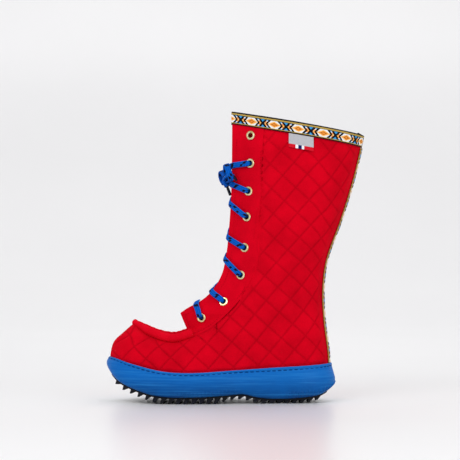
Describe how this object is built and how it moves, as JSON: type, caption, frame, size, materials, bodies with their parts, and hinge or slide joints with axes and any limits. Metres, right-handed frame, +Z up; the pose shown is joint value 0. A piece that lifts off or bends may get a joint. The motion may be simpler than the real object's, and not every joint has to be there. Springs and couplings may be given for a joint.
{
  "type": "laced winter boot",
  "caption": "Calf-high quilted felt boot, laced up the front, with a turned-up beak toe, woven ribbon trim and a rubber cup sole on a toothed tread.",
  "frame": {"origin": "on the ground under the middle of the boot's bounding box", "axes": "+Z up, toe towards -X, outer side of the foot towards -Y"},
  "size_m": [0.3033, 0.1029, 0.3395],
  "materials": {
    "quilted_felt": "matt felted wool, quilted in diamonds",
    "facing_felt": "matt felted wool, plain",
    "lining_felt": "soft brushed wool felt",
    "insole_felt": "pressed wool felt",
    "woven_ribbon": "jacquard-woven ribbon in gold, white, black and blue",
    "label_cloth": "fine woven cloth",
    "brass": "pale polished brass",
    "lace_cord": "flat woven polyester with dark flecks",
    "lace_tip": "glossy",
    "sole_rubber": "satin moulded rubber",
    "tread_rubber": "satin moulded rubber",
    "foam": "fine-celled foam",
    "board": "pressed fibre board"
  },
  "bodies": {
    "boot": {"cup_sole": "sole_rubber", "studded_tread": "tread_rubber", "midsole": "foam", "lasting_board": "board", "outer_side_panel": "quilted_felt", "inner_side_panel": "quilted_felt", "outer_lining": "lining_felt", "inner_lining": "lining_felt", "outer_facing": "facing_felt", "inner_facing": "facing_felt", "outer_toe_roll": "facing_felt", "inner_toe_roll": "facing_felt", "vamp_plug": "facing_felt", "heel_counter": "board", "toe_puff": "board", "top_band": "woven_ribbon", "back_seam_ribbon": "woven_ribbon", "outer_eyelets": "brass", "inner_eyelets": "brass", "outer_washers": "brass", "inner_washers": "brass", "lace_bar": "lace_cord", "outer_lace_strands": "lace_cord", "inner_lace_strands": "lace_cord", "bow_knot": "lace_cord", "outer_bow_loop": "lace_cord", "inner_bow_loop": "lace_cord", "outer_lace_end": "lace_cord", "inner_lace_end": "lace_cord", "outer_aglet": "lace_tip", "inner_aglet": "lace_tip"},
    "tongue": {"tongue": "facing_felt"},
    "side_label": {"side_label": "label_cloth"},
    "insole": {"insole": "insole_felt"}
  },
  "joints": [
    {"name": "tongue_tilt", "type": "hinge", "parent": "boot", "child": "tongue", "pos_m": [-0.052, 0, 0.081], "axis": [0, 1, 0], "range_deg": [0, 8]},
    {"name": "label_flap", "type": "hinge", "parent": "boot", "child": "side_label", "pos_m": [0.07585, -0.0443, 0.31015], "axis": [-0.9757, 0.131, 0.1758], "range_deg": [0, 80]},
    {"name": "insole_lift", "type": "slide", "parent": "boot", "child": "insole", "axis": [0, 0, 1], "range_m": [0, 0.005]}
  ]
}
